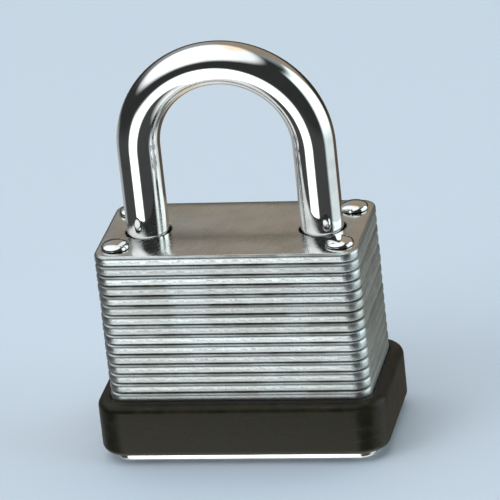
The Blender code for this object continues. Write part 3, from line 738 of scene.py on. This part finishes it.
def make_bumper():
    low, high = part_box("bumper")
    bottom, top = low.z / MM, high.z / MM
    wall, gap, foot, shoulder, lip = 2.1, 0.1, 1.1, 1.3, 0.25
    section = [(gap, bottom)]
    section += arc(wall - foot, bottom + foot, foot, -QUARTER, 0, 7)
    section += arc(wall - shoulder, top - shoulder, shoulder, 0, QUARTER, 8)
    section += arc(gap + lip, top - lip, lip, QUARTER, math.pi, 3)
    rings = []
    for out, z in section:
        outline = rounded_rectangle(BODY_HALF_X + out, BODY_HALF_Y + out, BODY_CORNER + out, 14)
        rings.append(at_height(outline, z))
    band = bmesh.new()
    joined(band, rings, closed=True)
    near, far = BODY_HALF_Y - RIB_DEPTH, BODY_HALF_Y + 0.6
    ribs = []
    for inner, outer in ((-far, -near), (near, far)):
        outline = [(-RIB_HALF_X, inner), (RIB_HALF_X, inner), (RIB_HALF_X, outer), (-RIB_HALF_X, outer)]
        ribs.append(("UNION", prism(outline, RIB_BOTTOM, RIB_TOP)))
    finish = FINISHES["bumper_rubber"]
    add("bumper_band", combined(band, ribs), finish, "body", "bumper", 40)


# ---- the cylinder and the springs ----

def keyway_outline():
    half, gap = 0.75, 0.30
    return [
        (-4.6, -half), (0.9, -half), (1.2, -gap), (1.8, -gap), (2.1, -half), (3.3, -half),
        (3.3, half), (-0.1, half), (-0.4, gap), (-1.0, gap), (-1.3, half), (-4.6, half),
    ]


def lying(mesh, x, z, turn):
    """The mesh turned from Z to lie along X, with its foot at that place."""
    mesh.transform(Matrix.Translation((x, 0, z)) @ Matrix.Rotation(turn, 4, "Y"))
    return mesh


def pin_height(number):
    low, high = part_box(f"key_pin_{number}")
    return (low.z + high.z) / 2 / MM


def pin_chamber(start_x, length, number, sides):
    """A cutter for one pin's bore, which runs towards +X."""
    bore = prism(circle(0, 0, CHAMBER_RADIUS, sides), 0, length)
    return "DIFFERENCE", lying(bore, start_x, pin_height(number), QUARTER)


def make_plug():
    face, end, flange, flange_top = 0.2, 23.8, 5.5, 1.6
    neck, neck_bottom, neck_top = 4.1, 20.45, 21.45
    profile = [
        (0, face), (flange - 0.7, face), (flange - 0.25, face + 0.04), (flange - 0.06, face + 0.14),
        (flange, face + 0.3), (flange, flange_top), (PLUG_RADIUS, flange_top),
        (PLUG_RADIUS, neck_bottom), (neck, neck_bottom), (neck, neck_top), (PLUG_RADIUS, neck_top),
        (PLUG_RADIUS, end - 0.2), (PLUG_RADIUS - 0.2, end), (0, end),
    ]
    keyway_end, chamber_start, chamber_length = 19.5, -6.6, 6.1
    tenon_root, tenon_end = end - 1.6, end + 2.5
    parts = [("DIFFERENCE", prism(keyway_outline(), -1.0, keyway_end))]
    for number in range(1, 5):
        parts.append(pin_chamber(chamber_start, chamber_length, number, 24))
    tenon = [(-3.5, -0.8), (3.5, -0.8), (3.5, 0.8), (-3.5, 0.8)]
    parts.append(("UNION", prism(tenon, tenon_root, tenon_end)))
    shape = combined(turned(profile, 64), parts)
    add("plug_turned", shape, FINISHES["brass"], "plug", "plug", 30)


def make_key_pin(number, length):
    """A key pin, with its cone towards the key."""
    name = f"key_pin_{number}"
    cone, tip = 0.7, 0.35
    profile = [
        (0, 0), (PIN_RADIUS - PIN_EDGE, 0), (PIN_RADIUS, PIN_EDGE), (PIN_RADIUS, length - cone),
        (tip + 0.10, length - 0.04), (tip, length), (0, length),
    ]
    outer_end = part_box(name)[0].x / MM
    shape = lying(turned(profile, 28), outer_end, pin_height(number), QUARTER)
    add(name + "_turned", shape, FINISHES["brass"], name, name, 30)


def make_driver_pin(number):
    name = f"driver_pin_{number}"
    length, edge = 3.0, 0.1
    profile = [
        (0, 0), (PIN_RADIUS - PIN_EDGE, 0), (PIN_RADIUS, PIN_EDGE), (PIN_RADIUS, length - edge),
        (PIN_RADIUS - edge, length), (0, length),
    ]
    inner_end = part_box(name)[1].x / MM
    shape = lying(turned(profile, 28), inner_end, pin_height(number), -QUARTER)
    add(name + "_turned", shape, FINISHES["spring_steel"], name, name, 30)


def make_pins():
    for number, length in enumerate((3.1, 2.5, 3.4, 2.8), start=1):
        make_key_pin(number, length)
        make_driver_pin(number)


def coil(length, radius, wire, turns):
    """A compression spring along Z from 0, with its end turns closed."""
    steps, sides = 24, 10
    closed_turns = 0.9
    rise = length - wire
    closed_rise = closed_turns * wire * 1.03
    open_turns = turns - 2 * closed_turns
    points = []
    for step in range(turns * steps + 1):
        at = step / steps
        if at < closed_turns:
            z = at / closed_turns * closed_rise
        elif at > turns - closed_turns:
            z = rise - (turns - at) / closed_turns * closed_rise
        else:
            z = closed_rise + (at - closed_turns) / open_turns * (rise - 2 * closed_rise)
        turn = math.tau * at
        points.append((radius * math.cos(turn), radius * math.sin(turn), wire / 2 + z))
    return tube(points, wire / 2, sides)


def make_shackle_spring():
    """Stands between the bottom plate and the shackle's long leg."""
    low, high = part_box("shackle_spring")
    shape = coil((high.z - low.z) / MM, 3.5, 0.7, 5)
    finish = FINISHES["spring_steel"]
    place = (LEG_X, 0, low.z / MM)
    spring = add(
        "shackle_spring_coil", shape, finish, None, "shackle_spring", 40, place
    )
    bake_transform(spring)


def lying_spring(name, body, radius, wire, turns):
    """A spring along X in its CAD node's box, with the two ends of its axis, in metres."""
    low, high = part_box(name)
    y, z = (low.y + high.y) / 2, (low.z + high.z) / 2
    shape = coil((high.x - low.x) / MM, radius, wire, turns)
    place = (low.x / MM, y / MM, z / MM)
    finish = FINISHES["spring_steel"]
    spring = add(name + "_coil", shape, finish, body, name, 40, place, (0, QUARTER, 0))
    return spring, Vector((low.x, y, z)), Vector((high.x, y, z))


def make_pin_springs():
    """Each lies between the chamber cover, at -X, and its driver pin."""
    for number in range(1, 5):
        spring, outer, inner = lying_spring(f"pin_spring_{number}", None, 0.9, 0.35, 5)
        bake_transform(spring)


def make_dog_springs():
    """Each lies against its wall of the cavity, beside its dog, riding on the body."""
    for dog, fixed_end in (("heel_dog", 0), ("toe_dog", 1)):
        spring, *ends = lying_spring(f"{dog}_spring", "body", 1.0, 0.4, 7)
        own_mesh(spring)


def make_housing():
    """The brass block that the plug turns in, bored from its rail for the pins."""
    chamber_start, chamber_length = -13.2, 9.2
    low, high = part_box("cylinder_housing")
    bottom, top = low.z / MM, high.z / MM
    block = slab(
        keyhole(HOUSING_RADIUS, RAIL_HALF_WIDTH, RAIL_END_X), edge_profile(bottom, top, 0.15, 0.15),
        [rounded_hole(0, 0, PLUG_RADIUS + 0.1, bottom, top, 0.12, 72)],
    )
    chambers = [pin_chamber(chamber_start, chamber_length, number, 32) for number in range(1, 5)]
    shape = combined(block, chambers)
    add("cylinder_housing_bored", shape, FINISHES["brass"], "body", "cylinder_housing", 30)


def make_cam():
    """A disc over the plug's tenon, with two crank pins that stand in the dogs' slots."""
    low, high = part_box("cam_disc")
    bottom, disc_top, pin_top = low.z / MM, 27.1, high.z / MM
    crank_radius, pin_radius, pin_edge, pin_root = 3.0, 0.7, 0.15, disc_top - 1.5
    slot = [(3.7, 1.0), (-3.7, 1.0), (-3.7, -1.0), (3.7, -1.0)]
    disc = slab(
        circle(0, 0, CAM_RADIUS, 72), edge_profile(bottom, disc_top, 0.2, 0.2),
        [straight_hole(slot, bottom, disc_top)],
    )
    profile = [
        (0, pin_root), (pin_radius, pin_root), (pin_radius, pin_top - pin_edge),
        (pin_radius - pin_edge, pin_top), (0, pin_top),
    ]
    pins = []
    for side in (-1, 1):
        pin = turned(profile, 24)
        across = side * crank_radius * math.sqrt(0.5)
        pin.transform(Matrix.Translation((across, across, 0)))
        pins.append(("UNION", pin))
    shape = combined(disc, pins)
    add("cam_disc_turned", shape, FINISHES["dark_steel"], "plug", "cam_disc", 30)


def open_ring(inner, outer, mouth):
    """A flat ring with a gap of twice the mouth angle at +X."""
    steps = 60
    outside = arc(0, 0, outer, mouth, math.tau - mouth, steps)
    return outside + arc(0, 0, inner, math.tau - mouth, mouth, steps)


def make_snap_ring(name, body, slot, outline, centre_x):
    low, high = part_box(name)
    shape = slab(outline, edge_profile(low.z / MM, high.z / MM, 0.08, 0.12), [])
    add(name + "_cut", shape, FINISHES[slot], body, name, 30, (centre_x, 0, 0))


def make_snap_rings():
    heel_ring = open_ring(2.7, 4.3, math.radians(35))
    plug_clip = open_ring(4.2, 6.4, math.radians(40))
    make_snap_ring("heel_retaining_ring", "shackle", "dark_steel", heel_ring, LEG_X)
    make_snap_ring("plug_retaining_clip", "plug", "spring_steel", plug_clip, 0)


def rounded_copy(name, width):
    """The mesh of a CAD node in millimetres, with its sharp edges rounded."""
    mesh = bmesh.new()
    mesh.from_mesh(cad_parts[name].data)
    mesh.transform(Matrix.Scale(1 / MM, 4))
    bmesh.ops.remove_doubles(mesh, verts=mesh.verts[:], dist=0.001)
    flat = math.radians(1)
    bmesh.ops.dissolve_limit(mesh, angle_limit=flat, verts=mesh.verts[:], edges=mesh.edges[:])
    sharp = [edge for edge in mesh.edges if edge.calc_face_angle(0) > math.radians(20)]
    bmesh.ops.bevel(
        mesh, geom=sharp, offset=width, segments=3, profile=0.5, affect="EDGES", clamp_overlap=True
    )
    for face in mesh.faces:
        face.material_index = 0
    return mesh


def make_ground_pieces():
    """The dogs and the chamber cover, which keep their CAD shapes but for their edges."""
    pieces = (
        ("heel_dog", "heel_dog", "dark_steel", 0.15),
        ("toe_dog", "toe_dog", "dark_steel", 0.15),
        ("pin_chamber_cover", "body", "brass", 0.08),
    )
    for name, body, slot, width in pieces:
        add(name + "_ground", rounded_copy(name, width), FINISHES[slot], body, name, 40)


# ---- the surroundings ----

def make_floor():
    """Pale paper, seen from above only, that neither shades nor mirrors in the padlock."""
    radius, sides, drop = 2.5, 96, 0.02 * MM
    mesh = bmesh.new()
    bmesh.ops.create_circle(mesh, cap_ends=True, segments=sides, radius=radius)
    data = bpy.data.meshes.new("floor")
    mesh.to_mesh(data)
    mesh.free()
    floor = bpy.data.objects.new("floor", data)
    floor.location.z = -drop
    bpy.context.scene.collection.objects.link(floor)
    made, tree, shader = start_material("floor_paper", 0.0, Roughness=0.85, Specular_IOR_Level=0.2)
    shader.inputs["Base Color"].default_value = (0.56, 0.65, 0.76, 1.0)
    geometry = node(tree, "ShaderNodeNewGeometry")
    clear = node(tree, "ShaderNodeBsdfTransparent")
    mixed = node(
        tree, "ShaderNodeMixShader", None, i0=geometry.outputs["Backfacing"],
        i1=shader.outputs[0], i2=clear.outputs[0],
    )
    tree.links.new(mixed.outputs[0], tree.nodes["Material Output"].inputs["Surface"])
    data.materials.append(made)
    floor.visible_shadow = False
    floor.visible_glossy = False


def add_softbox(name, location, target, size, watts, colour=(1, 1, 1)):
    data = bpy.data.lights.new(name, "AREA")
    data.shape = "RECTANGLE"
    data.size, data.size_y = size
    data.energy = watts
    data.color = colour
    made = bpy.data.objects.new(name, data)
    made.location = location
    made.rotation_euler = (Vector(target) - Vector(location)).to_track_quat("-Z", "Y").to_euler()
    made.visible_camera = False
    made.visible_glossy = False
    bpy.context.scene.collection.objects.link(made)


def facing(tree, azimuth, centre, half_width, softness=12):
    """1 within that many degrees of the centre azimuth, falling smoothly to 0 outside it."""
    turn = calc(tree, "COSINE", calc(tree, "SUBTRACT", azimuth, math.radians(centre)))
    outside = math.cos(math.radians(min(half_width + softness, 180)))
    inside = math.cos(math.radians(max(half_width - softness, 0)))
    return ramp(tree, turn, outside, inside, 0.0, 1.0)


def paper_screens(tree, azimuth, z):
    """The strength of the pale papers that stand round the padlock, below its horizon."""
    screens = ((-20, 19, 6, 2.6), (165, 16, 12, 0.05), (214, 30, 10, 0.38))
    between_screens, underfoot = 0.03, 1.2
    level = between_screens
    for centre, half_width, softness, strength in screens:
        screen = facing(tree, azimuth, centre, half_width, softness)
        level = calc(tree, "MULTIPLY_ADD", screen, strength, level)
    straight_down = ramp(tree, z, -0.92, -0.70, underfoot, 0.0)
    level = calc(tree, "MAXIMUM", level, straight_down)
    return calc(tree, "MULTIPLY", ramp(tree, z, -0.30, -0.10, 1.0, 0.0), level)


def room_lights(tree, direction, azimuth, z):
    """The strength of the overhead panel, the tall panel at the right and the dim back wall."""
    overhead_at = (-0.40, -0.15, 0.90)
    to_overhead = node(
        tree, "ShaderNodeVectorMath", {"operation": "DOT_PRODUCT"}, i0=direction, i1=overhead_at
    ).outputs["Value"]
    overhead = ramp(tree, to_overhead, 0.58, 0.76, 0.0, 1.35)
    tall_panel = calc(
        tree, "MULTIPLY", facing(tree, azimuth, 102, 30, 8), ramp(tree, z, -0.35, 0.0, 0.85, 1.9)
    )
    tall_panel = calc(tree, "MULTIPLY", tall_panel, ramp(tree, z, 0.55, 0.75, 1.0, 0.0))
    back_wall = calc(
        tree, "MULTIPLY", facing(tree, azimuth, 175, 60, 25), ramp(tree, z, 0.12, 0.36, 0.0, 0.34)
    )
    return calc(tree, "MAXIMUM", calc(tree, "MAXIMUM", overhead, tall_panel), back_wall)


def make_sky():
    """A dim studio for the metal to mirror. The camera itself sees an even pale blue instead."""
    neutral, warm_back, cool_right = (0.97, 1.0, 1.0), (0.97, 0.82, 0.64), (0.88, 0.99, 1.0)
    backdrop, dimmest = (0.42, 0.50, 0.60), 0.035
    world = bpy.data.worlds.new("studio")
    world.use_nodes = True
    tree = world.node_tree
    direction = node(tree, "ShaderNodeTexCoord").outputs["Generated"]
    x, y, z = node(tree, "ShaderNodeSeparateXYZ", None, i0=direction).outputs
    azimuth = calc(tree, "ARCTAN2", x, calc(tree, "MULTIPLY", y, -1.0))
    level = calc(tree, "ADD", room_lights(tree, direction, azimuth, z), dimmest)
    level = calc(tree, "ADD", paper_screens(tree, azimuth, z), level)
    seen = node(tree, "ShaderNodeLightPath").outputs["Is Camera Ray"]
    room = blend(tree, facing(tree, azimuth, 165, 30), neutral, warm_back)
    room = blend(tree, facing(tree, azimuth, 94, 33), room, cool_right)
    colour = blend(tree, seen, room, backdrop)
    strength = calc(tree, "MULTIPLY_ADD", level, calc(tree, "SUBTRACT", 1.0, seen), seen)
    background = tree.nodes["Background"]
    tree.links.new(colour, background.inputs["Color"])
    tree.links.new(strength, background.inputs["Strength"])
    bpy.context.scene.world = world


def make_light():
    centre = (0, 0, 0.03)
    add_softbox("key_softbox", (-0.42, -0.42, 0.55), centre, (0.34, 0.34), 1.1, (1.0, 0.985, 0.96))
    add_softbox("fill_softbox", (0.60, -0.20, 0.35), centre, (0.22, 0.45), 0.4, (0.95, 0.98, 1.0))
    add_softbox("top_softbox", (0.05, 0.30, 0.75), centre, (0.50, 0.30), 0.5)
    add_softbox("underside_light", (0.0, -0.25, -0.35), (0, 0, 0), (0.5, 0.4), 0.5)


def make_camera():
    azimuth, elevation, roll = math.radians(13.07), math.radians(23.26), math.radians(-6.2)
    distance, aim_right, aim_up = 0.72, 0.00187, -0.00007
    data = bpy.data.cameras.new("camera")
    data.sensor_width = 36.0
    data.lens = 346.5
    data.clip_start, data.clip_end = 0.05, 20.0
    back = Vector((
        math.sin(azimuth) * math.cos(elevation),
        -math.cos(azimuth) * math.cos(elevation),
        math.sin(elevation),
    ))
    rotation = (-back).to_track_quat("-Z", "Y").to_matrix().to_4x4() @ Matrix.Rotation(roll, 4, "Z")
    right, up = rotation.col[0].to_3d(), rotation.col[1].to_3d()
    target = Vector((0, 0, 0.03)) + right * aim_right + up * aim_up
    camera = bpy.data.objects.new("camera", data)
    camera.matrix_world = Matrix.Translation(target + back * distance) @ rotation
    bpy.context.scene.collection.objects.link(camera)
    bpy.context.scene.camera = camera


make_camera()
make_bottom_plate()
make_plates()
make_rivets()
make_shackle()
make_bumper()
make_plug()
make_pins()
make_shackle_spring()
make_pin_springs()
make_dog_springs()
make_housing()
make_cam()
make_snap_rings()
make_ground_pieces()
make_floor()
make_light()
make_sky()
bpy.context.scene.view_settings.view_transform = "Standard"
